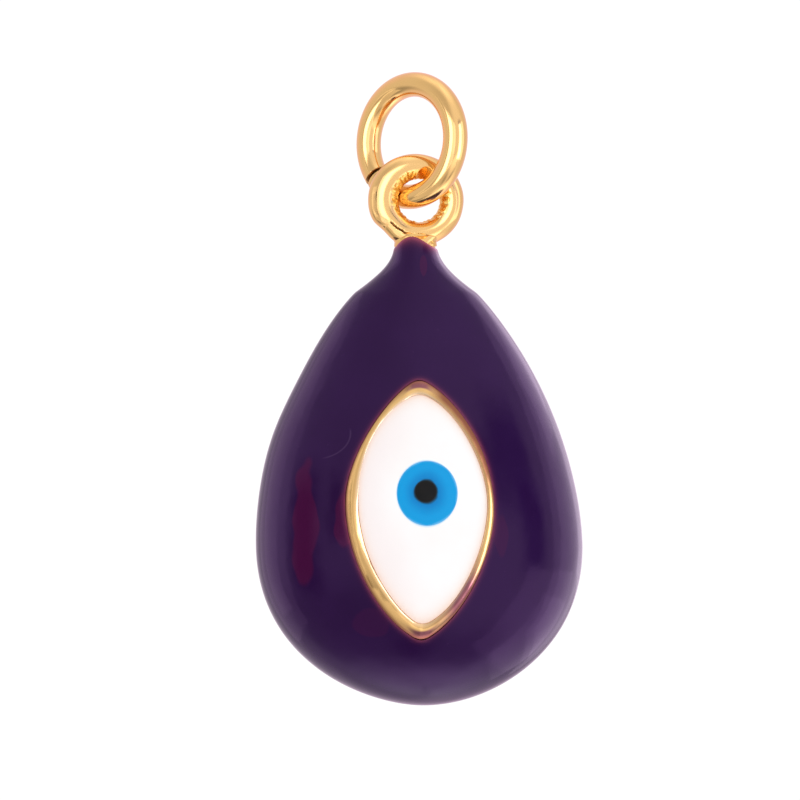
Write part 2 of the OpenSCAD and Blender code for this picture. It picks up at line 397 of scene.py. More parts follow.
def polished_gold():
    """Gold plating with rough places where the vertex values ask for them. Their deeper orange is
    painted interreflection, and the values also paint shade and reflection.
    """
    s = Shader("gold_plating")
    rough = s.attribute("rough")
    brown = s.attribute("brown")
    dark = s.attribute("dark")
    wear = s.noise(2.2, detail=4.0)
    tone = worn(s, wear, 0.35, GOLD, GOLD_WORN)
    # The rough bore's deeper orange: painted interreflection
    tone = s.blend(rough, tone, GOLD_INTERREFLECTION)
    # Mauve: the enamel's film, and painted reflection of the purple enamel at the rim's tips
    tone = s.blend(s.attribute("film_and_reflection"), tone, MAUVE_FILM_AND_REFLECTION)
    tone = s.blend(s.attribute("glaze"), tone, GOLD_GLAZED)
    tone = s.blend(brown, tone, GOLD_BROWN)
    # Dark: painted shade in the loop's crevice and pits; on the rim, dark spots
    tone = s.blend(dark, tone, GOLD_DARK)
    polish = s.plus(
        s.spread(wear, 0.3, 0.75, 0.10, 0.17),
        (scratches(s, 5.0), 0.10), (rough, 0.12), (dark, 0.35), (brown, 0.25),
    )
    depth = s.math("ADD", s.math("MULTIPLY", rough, 0.16), 0.02)
    grain = s.math("MULTIPLY", s.noise(24.0, detail=3.0), depth)
    s.set(Base_Color=tone, Metallic=1.0, Roughness=polish, Normal=s.relief(grain, 0.02))
    return s.material


def wire_gold():
    """Drawn round wire: plated and polished, with faint lines along it."""
    s = Shader("gold_wire")
    dark = s.attribute("dark")
    wear = s.noise(1.7, detail=4.0)
    # Dark at the cut ends: painted shade in the split
    tone = s.blend(dark, worn(s, wear, 0.4, GOLD, WIRE_WORN), GOLD_DARK)
    polish = s.plus(s.spread(wear, 0.3, 0.75, 0.09, 0.15), (scratches(s, 4.0), 0.08), (dark, 0.4))
    along = s.relief(s.attribute("lines"), 0.004)
    s.set(Base_Color=tone, Metallic=1.0, Roughness=polish, Normal=along)
    return s.material


def solder_gold():
    """Plated solder, a little duller and pitted."""
    s = Shader("gold_solder")
    pits = s.noise(5.0, detail=4.0)
    hole = s.spread(pits, 0.62, 0.72)
    # Deeper orange in the pits: painted interreflection
    tone = s.blend(hole, SOLDER, GOLD_INTERREFLECTION)
    polish = s.spread(pits, 0.35, 0.7, 0.14, 0.30)
    s.set(Base_Color=tone, Metallic=1.0, Roughness=polish)
    s.set(Normal=s.relief(s.math("SUBTRACT", 1.0, hole), 0.02))
    return s.material


def clouded(s, per_mm, a, b):
    """A colour that drifts between two, with about per_mm clouds to the millimetre."""
    return s.blend(s.spread(s.noise(per_mm, detail=3.0), 0.3, 0.7), a, b)


def enamel(s, colour, polish=(0.07, 0.12), level=0.3, tint=(1.0, 1.0, 1.0)):
    """Fired enamel's gloss over a colour: soft ripple, faint haze and hairlines."""
    haze = s.noise(0.9, detail=5.0, roughness=0.6)
    lines = s.math("MULTIPLY", scratches(s, 1.6), 0.05)
    rough = s.math("ADD", s.spread(haze, 0.35, 0.7, *polish), lines)
    ripple = s.relief(s.noise(1.1, detail=1.0), 0.012)
    ripple = s.relief(s.noise(7.0, detail=2.0), 0.001, under=ripple)
    s.set(Base_Color=colour, Roughness=rough, Specular_IOR_Level=level, Normal=ripple)
    s.set(Specular_Tint=tint)
    return s.material


def from_foot(s):
    """Distances in millimetres to the right of the drop's foot, forward of it and above it."""
    shift = s.node("ShaderNodeVectorMath", operation="SUBTRACT")
    s.link(s.mm, shift.inputs[0])
    s.link(tuple(FOOT), shift.inputs[1])
    parts = s.node("ShaderNodeSeparateXYZ")
    s.link(shift.outputs[0], parts.inputs[0])
    x, y, z = parts.outputs
    return x, s.math("MULTIPLY", y, -1.0), z


def round_distance(s, across, up, centre, radii):
    """Distance from the centre of an ellipse, which is 1 on the ellipse."""
    a = s.math("DIVIDE", s.math("SUBTRACT", across, centre[0]), radii[0])
    b = s.math("DIVIDE", s.math("SUBTRACT", up, centre[1]), radii[1])
    squares = s.math("ADD", s.math("POWER", a, 2.0), s.math("POWER", b, 2.0))
    return s.math("SQRT", squares)


def hairline(s):
    """A short curved scratch to the left of the eye, part of an ellipse on the drop's front."""
    x, forward, z = from_foot(s)
    far = round_distance(s, x, z, SCRATCH_CENTRE, SCRATCH_RADII)
    off = s.math("ABSOLUTE", s.math("SUBTRACT", far, 1.0))
    line = s.spread(off, 0.010, 0.035, 0.25, 0.0)
    below = s.spread(z, SCRATCH_CENTRE[1] + 0.2, SCRATCH_CENTRE[1])
    beside = s.spread(x, SCRATCH_CENTRE[0] + 0.2, SCRATCH_CENTRE[0] + 0.5)
    line = s.math("MULTIPLY", line, s.math("MULTIPLY", below, beside))
    return s.math("MULTIPLY", line, s.spread(forward, 1.0, 1.5))


def painted_reflection_streaks(s):
    """Painted reflections of dark surroundings: wine red streaks on the front."""
    x, forward, z = from_foot(s)
    wander = s.math("MULTIPLY", s.math("SUBTRACT", s.noise(0.8, detail=1.0), 0.5), 1.3)
    total = 0.0
    for centre, radii, amount in REFLECTION_STREAKS:
        far = s.math("ADD", round_distance(s, x, z, centre, radii), wander)
        total = s.math("MAXIMUM", total, s.spread(far, 1.12, 0.85, 0.0, amount))
    return s.math("MULTIPLY", total, s.spread(forward, 0.3, 0.8))


def purple_enamel():
    s = Shader("purple_enamel")
    tone = clouded(s, 0.5, PURPLE, PURPLE_LIGHT)
    speck = s.spread(s.noise(9.0, detail=1.0), 0.74, 0.80, 0.0, 0.25)
    tone = s.blend(speck, tone, PURPLE_SPECK)
    # Wine red streaks: painted reflections of dark surroundings
    tone = s.blend(painted_reflection_streaks(s), tone, WINE_REFLECTION)
    tone = s.blend(hairline(s), tone, PURPLE_SCRATCH)
    tone = s.blend(s.attribute("thin"), tone, PURPLE_THIN)
    return enamel(s, tone, polish=(0.09, 0.16), level=0.33, tint=PURPLE_GLOSS)


def white_enamel():
    s = Shader("white_enamel")
    tone = clouded(s, 0.6, WHITE_WARM, WHITE)
    # Painted shade: the white turns rosy towards its left side
    tone = s.blend(s.attribute("left"), tone, WHITE_PAINTED_SHADE)
    tone = s.blend(s.attribute("rim"), tone, WHITE_GOLDEN)
    tone = s.blend(s.attribute("blue"), tone, WHITE_BLUED)
    return enamel(s, tone)


def blue_enamel():
    s = Shader("blue_enamel")
    cloud = s.math("SUBTRACT", s.noise(1.6, detail=3.0), 0.5)
    out = s.plus(s.attribute("out"), (cloud, 0.25))
    tone = s.blend(s.spread(out, -0.05, 0.70), BLUE_DEEP, BLUE)
    tone = s.blend(s.spread(out, 0.90, 1.02), tone, BLUE_PALE)
    tone = s.blend(s.spread(out, 0.10, -0.02), tone, BLUE_BLACK)
    return enamel(s, tone, level=0.16)


def black_enamel():
    s = Shader("black_enamel")
    tone = clouded(s, 2.5, BLACK, BLACK_WARM)
    tone = s.blend(s.spread(s.attribute("out"), 0.86, 1.0), tone, BLACK_BLUE)
    return enamel(s, tone, level=0.16)


# ---- the drop's surface ----
# Its outline from the foot to the neck, as (distance from the axis, height): seen from the front
# and from the side
FRONT_CURVE = bezier_path([
    (0, 0), (2.33, 0), (DROP_W / 2, 1.8), (DROP_W / 2, BELLY_Z),
    (DROP_W / 2, BELLY_Z + 4.92), (2.49, 14.72), (2.16, 14.96),
    (0.99, 15.81), (NECK_R, 16.26), (NECK_R - 0.02, 16.71),
    (NECK_R - 0.03, 16.8), (NECK_R - 0.04, 16.9), (NECK_R - 0.05, 17.1),
])
SIDE_CURVE = bezier_path([
    (0, 0), (1.6, 0), (DROP_D / 2, 1.6), (DROP_D / 2, BELLY_Z),
    (DROP_D / 2, BELLY_Z + 4.4), (1.75, 13.9), (1.42, 14.7),
    (0.98, 15.75), (NECK_R, 16.26), (NECK_R - 0.06, 16.6),
    (NECK_R - 0.10, 16.8), (NECK_R - 0.18, 16.9), (NECK_R - 0.27, 17.1),
])


def inset_curve(curve, depth):
    """The curve moved inwards, square to itself."""
    ahead = np.gradient(curve, axis=0)
    ahead[0] = (1, 0)
    ahead /= np.linalg.norm(ahead, axis=1)[:, None]
    moved = curve + depth * np.stack([-ahead[:, 1], ahead[:, 0]], axis=1)
    return np.maximum(moved, (0, -10))


def extent(curve, z, depth):
    """Half extent at height z of the surface that lies depth below the outline."""
    moved = inset_curve(curve, 1.0) - curve
    wanted = np.asarray(z, float)
    depth = np.broadcast_to(depth, wanted.shape)
    levels = np.array([0.0, 0.1, 0.2, 0.3, 0.5])
    stack = np.stack([np.interp(wanted, *by_height(curve + t * moved)) for t in levels])
    low = np.clip(np.searchsorted(levels, depth, side="right") - 1, 0, len(levels) - 2)
    share = (depth - levels[low]) / (levels[low + 1] - levels[low])
    a = np.take_along_axis(stack, low[None], axis=0)[0]
    b = np.take_along_axis(stack, low[None] + 1, axis=0)[0]
    return np.maximum(a + (b - a) * share, 0)


def by_height(curve):
    order = np.argsort(curve[:, 1], kind="stable")
    return curve[order, 1], np.maximum(curve[order, 0], 0)


# How far the hand-filled enamel stands out from the true drop, by the angle about its belly seen
# from the front. 0 is the right side and 90 the neck.
SWELL = [
    (0, 0.01), (22, -0.04), (60, -0.02), (90, 0.0), (109, 0.08), (124, 0.04), (143, 0.115),
    (165, 0.07), (210, 0.035), (250, 0.02), (292, 0.11), (322, 0.085), (345, 0.035),
]


def swell(points):
    """Moves the silhouette of the enamel in or out, and leaves its front and back alone."""
    x, y, z = np.moveaxis(points, -1, 0)
    angle = np.degrees(np.arctan2(z - BELLY_Z, x))
    edge = np.clip(1 - (y / (DROP_D / 2)) ** 2, 0, 1)
    push = round_curve(angle, SWELL) * edge * smooth(z, 16.4, 15.4)
    ahead = np.radians(angle)
    return points + xyz(push * np.cos(ahead), 0, push * np.sin(ahead))


def on_drop(z, degrees, depth=0.0):
    """Points at height z and an angle round the drop, depth below the enamel's face."""
    a = np.radians(degrees)
    x = extent(FRONT_CURVE, z, depth) * np.sin(a)
    y = -extent(SIDE_CURVE, z, depth) * np.cos(a)
    return xyz(x, y, z)


def on_front(x, z, depth=0.0):
    """Points on the drop's front that lie straight behind (x, z)."""
    w = extent(FRONT_CURVE, z, depth)
    d = extent(SIDE_CURVE, z, depth)
    y = -d * np.sqrt(np.maximum(0, 1 - (x / np.maximum(w, 1e-6)) ** 2))
    return xyz(x, y, z)


# ---- the eye's outlines: each side from the lower tip to the upper one ----
RIM_FOOT = (0.01, 2.41)
RIM_HEAD = (0.07, 11.76)
RIM_RIGHT = [
    RIM_FOOT, (1.74, 3.20), (2.71, 5.70), (2.71, 7.05), (2.71, 10.06), (0.51, 11.70), RIM_HEAD,
]
RIM_LEFT = [
    RIM_FOOT, (-1.33, 2.94), (-2.69, 5.18), (-2.69, 7.35), (-2.69, 9.34), (-0.52, 11.76), RIM_HEAD,
]
WHITE_FOOT = (0.05, 2.98)
WHITE_HEAD = (0.05, 11.24)
WHITE_RIGHT = [
    WHITE_FOOT, (1.45, 3.45), (2.43, 5.85), (2.43, 7.29), (2.43, 8.75), (1.30, 10.90), WHITE_HEAD,
]
WHITE_LEFT = [
    WHITE_FOOT, (-0.45, 3.05), (-2.17, 4.95), (-2.17, 7.44), (-2.17, 9.68), (-0.98, 10.95), WHITE_HEAD,
]
IRIS_CENTRE = np.array([0.287, 7.685])
IRIS_RADII = np.array([1.09, 1.163])
PUPIL_CENTRE = np.array([0.235, 7.755])
PUPIL_RADII = np.array([0.412, 0.412])
# Typical distance from the white's edge to the iris
WHITE_WIDTH = 2.6
# Points on each side of the eye, and how many neighbours on each side round its tips
SIDE_STATIONS = 170
TIP_REACH = 5
# A distance from the eye that counts as far away
FAR = 9.0


def eye_ring(right, left):
    """A closed outline with rounded tips: up the right side, then down the left side."""
    up = even_points(bezier_path(right), SIDE_STATIONS)
    down = even_points(bezier_path(left), SIDE_STATIONS)[::-1]
    ring = np.vstack([up, down[1:-1]])
    reach = range(-TIP_REACH, TIP_REACH + 1)
    return np.mean([np.roll(ring, k, axis=0) for k in reach], axis=0)


def rim_outline():
    """The rim's outer edge: blunt at both tips, and as tall as its curves."""
    ring = eye_ring(RIM_RIGHT, RIM_LEFT)
    low, high = ring[:, 1].min(), ring[:, 1].max()
    ring[:, 1] = RIM_FOOT[1] + (ring[:, 1] - low) * (RIM_HEAD[1] - RIM_FOOT[1]) / (high - low)
    return ring


def rim_sides():
    """The right and the left side of the rim's outer edge, each from the lowest point up."""
    ring = rim_outline()
    right = ring[:SIDE_STATIONS]
    left = np.vstack([ring[:1], ring[: SIDE_STATIONS - 2 : -1]])
    return [side[np.argsort(side[:, 1])] for side in (right, left)]


def distance_to(points, ring):
    """Distance from each point to a closed outline given by close points, or FAR."""
    flat = points.reshape(-1, 2)
    best = np.full(len(flat), FAR)
    near = np.all((flat > ring.min(0) - 0.6) & (flat < ring.max(0) + 0.6), axis=1)
    for part in np.array_split(np.nonzero(near)[0], 40):
        apart = np.linalg.norm(flat[part][:, None, :] - ring[None], axis=2)
        best[part] = apart.min(axis=1)
    return best.reshape(points.shape[:-1])


def ellipse_facing(points, centre, radii):
    """The point of an ellipse that lies towards each of the points."""
    toward = (points - centre) / radii
    toward /= np.linalg.norm(toward, axis=1)[:, None]
    return centre + toward * radii


# ---- enamel coat ----
# How far the coat reaches under the eye's rim and climbs against it
COAT_TUCK = 0.03
COAT_CLIMB = 0.028
# How far its upper edge rolls over on to the neck, and how much thinner it is there
COAT_ROLL = 0.07
COAT_THINNER = 0.13
# How close its columns stand beside the eye: 0 is evenly spaced, 1 would let them meet
COAT_CROWDING = 0.94


def coat_top(degrees):
    """Height of the enamel's upper edge on the neck: an arch at the front and a lower one behind."""
    front = 0.46 * bump(turn_apart(degrees, -12), 0, 52)
    back = 0.22 * bump(turn_apart(degrees, 180), 0, 50)
    return 16.45 + front + back


def coat_levels(depth):
    """Heights of the rows, as far as the top of the eye, and how far each later row is up the neck."""
    below = depth + (RIM_FOOT[1] - depth) * np.linspace(0, 1, 45)[:-1] ** 2
    beside = RIM_FOOT[1] + (RIM_HEAD[1] - RIM_FOOT[1]) * (1 - np.cos(np.linspace(0, math.pi, 121))) / 2
    above = np.linspace(0, 1, 61)[1:]
    return below, beside, above


def coat_skin(depth_at):
    """Rows of points from the eye's right edge round the back to its left edge, and the angles."""
    below, beside, above = coat_levels(depth_at(0.0))
    side_right, side_left = rim_sides()
    u = np.linspace(0, 1, 241)
    share = u - COAT_CROWDING * np.sin(2 * np.pi * u) / (2 * np.pi)
    rows = []
    for z in [*below, *beside]:
        right = np.interp(z, side_right[:, 1], side_right[:, 0])
        left = np.interp(z, side_left[:, 1], side_left[:, 0])
        middle = (right + left) / 2
        half = max(0.0, (right - left) / 2 - COAT_TUCK)
        half *= float(RIM_FOOT[1] < z < RIM_HEAD[1])
        wide = max(float(extent(FRONT_CURVE, z, 0.0)), 0.5)
        first = math.degrees(math.asin((middle + half) / wide))
        last = 360 + math.degrees(math.asin((middle - half) / wide))
        a = first + (last - first) * share
        rows.append(on_drop(np.full(a.shape, z), a, depth_at(z)))
    wide = float(extent(FRONT_CURVE, RIM_HEAD[1], 0.0))
    a = math.degrees(math.asin(RIM_HEAD[0] / wide)) + 360 * share
    for v in above:
        z = RIM_HEAD[1] + (coat_top(a) - RIM_HEAD[1]) * v
        rows.append(on_drop(z, a, depth_at(z)))
    return np.array(rows), a


def rolled_edge(a):
    """The coat's upper edge, which rolls over on to the neck at the angles a."""
    edge = []
    for phi in np.radians([20, 40, 60, 80]):
        z = coat_top(a) + COAT_ROLL * math.sin(phi)
        edge.append(on_drop(z, a, np.full(z.shape, COAT_ROLL * (1 - math.cos(phi)))))
    return np.array(edge)


def coat_faces(rows_out, rows_in, columns):
    """Faces of the coat's two skins, of the opening for the eye and of the edge on the neck."""
    start = rows_out * columns
    faces = [sheet_faces(rows_out, columns), sheet_faces(rows_in, columns, start, flip=True)]
    below, beside, _ = coat_levels(0)
    i = np.arange(len(below), len(below) + len(beside) - 1)
    for column in (0, columns - 1):
        out_a, out_b = i * columns + column, (i + 1) * columns + column
        faces.append(np.stack([out_a, out_b, start + out_b, start + out_a], axis=1))
    j = np.arange(columns - 1)
    out_a = (rows_out - 1) * columns + j
    in_a = start + (rows_in - 1) * columns + j
    faces.append(np.stack([out_a, out_a + 1, in_a + 1, in_a], axis=1))
    return np.vstack(faces)


def enamel_coat(material):
    outer, _ = coat_skin(lambda z: np.zeros_like(z))
    inner, a = coat_skin(lambda z: COAT_T - COAT_THINNER * smooth(z, 15.4, 16.4))
    outer = swell(np.concatenate([outer, rolled_edge(a)]))
    # Near the rim the enamel climbs a little, as it did when it was wet
    gap = distance_to(outer[:, :, [0, 2]], rim_outline())
    gap = np.where(outer[:, :, 1] < 0, gap, FAR)
    outer[:, :, 1] -= COAT_CLIMB * np.exp(-gap / 0.10)
    # It looks thinner along the rim and along its edge on the neck
    top = coat_top(a)[None, :] + COAT_ROLL
    by_rim = 0.65 * np.exp(-gap / 0.05)
    by_neck = np.exp(-np.maximum(top - 0.04 - outer[:, :, 2], 0) / 0.11)
    thin = np.maximum(by_rim, by_neck)
    points = np.vstack([outer.reshape(-1, 3), inner.reshape(-1, 3)])
    faces = coat_faces(len(outer), len(inner), outer.shape[1])
    values = {"thin": np.concatenate([thin.ravel(), np.zeros(inner[..., 0].size)])}
    names = ("enamel_coat_glossy", "purple_enamel", "enamel_coat")
    return add_piece(names, points + FOOT, faces, material, values)


# ---- the eye ----
# How deep the rim and each enamel reach below the drop's face
RIM_SINK = 0.2
WHITE_DEPTH = 0.2
IRIS_DEPTH = 0.14
PUPIL_DEPTH = 0.08


def rim_zones(turn):
    """How strongly each zone of the rim applies at each turn.

    The turn is 0 at the foot, 0.5 at the head after the right side, and 1 at the foot again."""
    return {
        "low_left": bump(turn, 0.86, 0.13),
        "low_right": bump(turn, 0.12, 0.085),
        "leaning": bump(turn, 0.90, 0.08),
        "mauve": bump(turn, 0.095, 0.055),
        "bright": bump(turn, 0.795, 0.065),
        "upper": smooth(np.abs(turn - 0.5), 0.30, 0.16),
        "upper_right": smooth(turn, 0.24, 0.32) * smooth(turn, 0.49, 0.45),
        "upper_left": smooth(turn, 0.51, 0.54) * smooth(turn, 0.75, 0.70),
        "tips": np.maximum(bump(turn, 0, 0.022) + bump(turn, 1, 0.022), bump(turn, 0.5, 0.022)),
    }


def rim_level(v, zone, nicks):
    """Height of the rim above the drop at v, which is 0 on its outer edge and 1 on its inner one."""
    low_left, low_right, bright = zone["low_left"], zone["low_right"], zone["bright"]
    crest = 0.5 + 0.06 * zone["leaning"] - 0.05 * low_right + 0.06 * bright
    outer_power = 2.0 + 2.6 * low_left
    inner_power = 2.0 + 1.0 * low_left - (1.0 + low_left) * bright
    side = np.where(v < crest, crest, 1 - crest)
    rise = 1 - np.abs((v - crest) / side) ** np.where(v < crest, outer_power, inner_power)
    height = 0.10 - 0.03 * low_right - 0.035 * zone["upper"] + 0.012 * nicks
    low = -0.02 + 0.045 * zone["upper_left"] * (v > crest)
    return low + (height - low) * np.maximum(rise, 0) ** (0.7 + 0.3 * bright)


def rim_colours(v, zone, nicks):
    """Vertex values of the rim at v across it."""
    # Mauve: painted reflection of the purple enamel at the rim's tips, and the enamel's thin film over
    # the gold at the lower right and along the outer edge
    film_and_reflection = 1.4 * zone["tips"] * smooth(v, 0.56, 0.40) + 1.2 * zone["mauve"] * smooth(v, 1.5, 0.6)
    film_and_reflection = np.clip(film_and_reflection + 0.8 * smooth(v, 0.20, 0.03), 0, 1)
    right = zone["upper_right"]
    return {
        "film_and_reflection": film_and_reflection,
        "dark": 0.6 * smooth(nicks, 0.42, 0.6) * bump(v, 0.3, 0.07),
        "glaze": (0.45 + 0.35 * zone["upper"]) * smooth(v, 0.62, 1.0),
        "brown": right * smooth(v, 1.0, 0.35) + (1 - right) * 0.8 * smooth(v, 0.38, 0.05),
    }


def eye_rim(material):
    """The gold rim: a low bead, wider and flatter at the lower left."""
    outer = rim_outline()
    inner = eye_ring(WHITE_RIGHT, WHITE_LEFT)
    turn = np.arange(len(outer)) / len(outer)
    zone = rim_zones(turn)
    nicks = noise_at(xyz(*outer.T, 0), 2.3, 4.0)
    rows = []
    colours = []
    for v in np.linspace(0, 1, 21):
        x, z = (outer + (inner - outer) * v).T
        rows.append(on_front(x, z) - xyz(0, rim_level(v, zone, nicks), 0))
        colours.append(rim_colours(v, zone, nicks))
    for x, z in (inner.T, outer.T):
        rows.append(on_front(x, z, np.full(len(turn), RIM_SINK)))
        colours.append({key: turn * 0 for key in colours[0]})
    points = np.array(rows).transpose(1, 0, 2)
    values = {key: np.array([row[key] for row in colours]).T for key in colours[0]}
    names = ("eye_rim_bead", "gold_plated_brass", "eye_rim")
    return add_piece(names, points + FOOT, torus_faces(*points.shape[:2]), material, values)


def filling(names, outer, inner, lift, depth, material, values):
    """A closed enamel filling between two outlines. The lift of its face and its values go by row."""
    rows = []
    for t, up in zip(np.linspace(0, 1, len(lift)), lift):
        x, z = (outer + (inner - outer) * t).T
        rows.append(on_front(x, z) - xyz(0, up, 0))
    for x, z in (inner.T, outer.T):
        rows.append(on_front(x, z, np.full(len(outer), depth)))
    points = np.array(rows)
    floor = np.zeros((2, len(outer)))
    by_row = {}
    for key, value in values.items():
        by_row[key] = np.array([*[np.full(len(outer), v) for v in value], *floor])
    return add_piece(names, points + FOOT, torus_faces(*points.shape[:2]), material, by_row)


def eye_fillings(white, blue, black):
    """White, iris and pupil, each let into the one before."""
    edge = eye_ring(WHITE_RIGHT, WHITE_LEFT)
    edge = edge + 0.05 * (rim_outline() - edge)
    iris = ellipse_facing(edge, IRIS_CENTRE, IRIS_RADII)
    pupil = ellipse_facing(edge, PUPIL_CENTRE, PUPIL_RADII)
    dot = np.repeat(PUPIL_CENTRE[None], len(edge), axis=0)

    t = np.linspace(0, 1, 49)
    across = WHITE_WIDTH * t
    lift = -0.01 + 0.055 * np.exp(-across / 0.16) + 0.02 * t
    # Painted shade towards the white's left side, fading out towards the iris
    left = smooth(edge[:, 0], 0.2, -1.6)
    values = {
        "rim": np.exp(-across / 0.19),
        "blue": 0.8 * smooth(t, 0.975, 1.0),
        "left": [left * fade for fade in 0.9 * smooth(t, 1.0, 0.2)],
    }
    names = ("eye_white_enamel", "white_enamel", "eye_white")
    white_piece = filling(names, edge, iris, lift, WHITE_DEPTH, white, values)

    t = np.linspace(0, 1, 25)
    lift = 0.01 + 0.012 * np.sin(np.pi * t)
    names = ("eye_iris_enamel", "blue_enamel", "eye_iris")
    iris_piece = filling(names, iris, pupil, lift, IRIS_DEPTH, blue, {"out": 1 - t})

    t = np.linspace(0, 1, 13)
    lift = 0.01 + 0.02 * np.sin(np.pi * t / 2)
    names = ("eye_pupil_enamel", "black_enamel", "eye_pupil")
    pupil_piece = filling(names, pupil, dot, lift, PUPIL_DEPTH, black, {"out": 1 - t})
    return [white_piece, iris_piece, pupil_piece]


# ---- bail, neck and solder ----
BAIL_OUTSIDE = [
    (0, 1.80), (45, 1.76), (90, 1.71), (135, 1.73), (180, 1.73), (203, 1.70), (222, 1.59),
    (241, 1.65), (270, 1.66), (299, 1.70), (325, 1.75),
]
# Ellipses in the loop's plane: the narrowest part of its bore, and where the rough bore begins
# at the front and at the back. Each is (centre, radii).
THROAT = ((0.15, 0.013), (0.767, 0.778))
FRONT_MOUTH = ((0.14, 0.16), (1.085, 0.985))
BACK_MOUTH = ((0.10, 0.05), (1.0, 1.0))
BAIL_HALF_DEPTH = 0.42
RIB_DEPTH = 0.034
GRAIN_DEPTH = 0.014
DENT_DEPTH = 0.01
CREVICE_DEPTH = 0.09
# Gap between the loop's metal and the jump ring's wire, and how far the pendant swings
CLEARANCE = 0.03
SWING = math.radians(30)


def turned(points, axis, angle):
    """Points turned about the x, y or z axis through the origin."""
    c, s = math.cos(angle), math.sin(angle)
    a, b = {"x": (1, 2), "y": (2, 0), "z": (0, 1)}[axis]
    out = np.array(points, float)
    out[..., a] = c * points[..., a] - s * points[..., b]
    out[..., b] = s * points[..., a] + c * points[..., b]
    return out


def ring_to_frame(points):
    """From the jump ring's own axes, with its loop in the XZ plane, to the frame."""
    return turned(turned(points, "z", -RING_YAW), "y", RING_ROLL) + RING_CENTRE


def ellipse_radius(degrees, ellipse):
    """Distance from the origin to an ellipse round it, at each angle."""
    (cx, cy), (rx, ry) = ellipse
    ux, uy = np.cos(np.radians(degrees)) / rx, np.sin(np.radians(degrees)) / ry
    a = ux**2 + uy**2
    b = ux * cx / rx + uy * cy / ry
    c = (cx / rx) ** 2 + (cy / ry) ** 2 - 1
    return (b + np.sqrt(b * b - a * c)) / a


def keep_off_wire(points):
    """Moves points off the jump ring's wire wherever the pendant swings."""
    out = np.array(points)
    for swing in np.linspace(-SWING, SWING, 13):
        there = turned(out - SWING_AT, "y", swing) + SWING_AT
        local = turned(turned(there - RING_CENTRE, "y", -RING_ROLL), "z", RING_YAW)
        radius = np.maximum(np.hypot(local[..., 0], local[..., 2]), 1e-6)
        near = local.copy()
        near[..., 1] = 0
        near[..., 0] *= RING_R / radius
        near[..., 2] *= RING_R / radius
        away = local - near
        gap = np.linalg.norm(away, axis=-1)
        push = np.maximum(WIRE_R + CLEARANCE - gap, 0) / np.maximum(gap, 1e-6)
        local = local + away * push[..., None]
        out = turned(ring_to_frame(local) - SWING_AT, "y", -swing) + SWING_AT
    return out


def crevice(theta, phi, r):
    """The crevice between the loop and the web of solder, and the lower step outside it."""
    wander = noise_at(xyz(theta / 6, 0, 0), 1.0, 3.0)
    reach = smooth(theta, 214, 222) * smooth(theta, 270, 260) * smooth(np.sin(phi), 0.1, 0.6)
    groove = reach * bump(r, 1.235 + 0.045 * wander, 0.025)
    shelf = reach * smooth(r, 1.23, 1.30) * 0.02
    return groove, shelf


def bail_loop(material):
    """The cast loop: polished outside, ribbed as cast in its bore, with a crevice at its lower left."""
    theta = np.linspace(0, 360, 600, endpoint=False)[:, None]
    phi = np.linspace(0, 2 * np.pi, 96, endpoint=False)[None, :]
    ct, st = np.cos(np.radians(theta)), np.sin(np.radians(theta))
    outside = round_curve(theta, BAIL_OUTSIDE)
    inside = ellipse_radius(theta, THROAT)
    half = (outside - inside) / 2
    r = (outside + inside) / 2 + half * np.cos(phi)
    y = -BAIL_HALF_DEPTH * np.sin(phi)
    # The bore is rough: ribs along its axis, mixed with grains
    smooth_loop = xyz(r * ct, y, r * st)
    ribs = noise_at(xyz(ct * inside, y * 0.25, st * inside), 10.0, 2.0)
    grains = noise_at(smooth_loop, 11.0, 7.0)
    mouth = np.where(y < 0, ellipse_radius(theta, FRONT_MOUTH), ellipse_radius(theta, BACK_MOUTH))
    in_bore = smooth(mouth + 0.05 * ribs - r, 0.0, 0.05)
    relief = in_bore * (RIB_DEPTH * ribs + GRAIN_DEPTH * grains)
    dents = DENT_DEPTH * noise_at(smooth_loop, 1.6, 5.0)
    shrink = relief + dents * (1 - in_bore)
    groove, shelf = crevice(theta, phi, r)
    r = r + np.cos(phi) * shrink
    y = y - np.sin(phi) * shrink + groove * CREVICE_DEPTH + shelf
    points = keep_off_wire(turned(xyz(r * ct, y, r * st), "z", BAIL_YAW) + BAIL_CENTRE)
    stain = smooth(noise_at(smooth_loop, 5.0, 1.0), 0.05, 0.25)
    pits = in_bore * smooth(-(ribs + grains), 0.2, 0.9)
    values = {
        # Painted interreflection: the rough bore is tinted a deeper orange
        "rough": in_bore * (0.8 + 0.2 * grains),
        # Painted shade in the crevice and in the bore's pits
        "dark": np.clip(groove * 0.95 + pits * 0.2, 0, 1),
        "film_and_reflection": 0.7 * bump(theta, 206, 7) * bump(r, 1.50, 0.10) * stain,
    }
    names = ("bail_loop_cast", "gold_plated_brass", "bail_ring")
    return add_piece(names, points, torus_faces(*points.shape[:2]), material, values)


# The neck as (height, half width, half depth)
NECK_LEVELS = np.array([
    (15.2, 0.55, 0.55), (15.6, 0.62, 0.62), (16.0, 0.68, 0.68), (16.4, 0.71, 0.70),
    (16.6, 0.73, 0.68), (16.75, 0.755, 0.64), (16.86, 0.80, 0.58), (16.98, 0.86, 0.48),
    (17.08, 0.80, 0.36),
])


def neck_stub(material):
    """The neck between the enamel and the loop."""
    levels, widths, depths = NECK_LEVELS.T
    z = np.linspace(levels[0], levels[-1], 70)[:, None]
    a = np.linspace(0, 2 * np.pi, 128, endpoint=False)
    x = np.interp(z, levels, widths) * np.sin(a)
    y = -np.interp(z, levels, depths) * np.cos(a)
    rings = xyz(x, y, z)
    rings[:, :, :2] *= 1 + 0.012 * noise_at(rings, 1.8, 9.0)[..., None]
    return closed_stack(("neck_stub", "gold_plated_brass", "neck"), rings, material)


def closed_stack(names, rings, material):
    """A closed solid from level rings, shut by a point at each end."""
    points = capped(rings)
    values = {key: np.zeros(points.shape[:2]) for key in ("rough", "dark", "film_and_reflection")}
    faces = sheet_faces(*points.shape[:2], wrap=True)
    return add_piece(names, points + FOOT, faces, material, values)


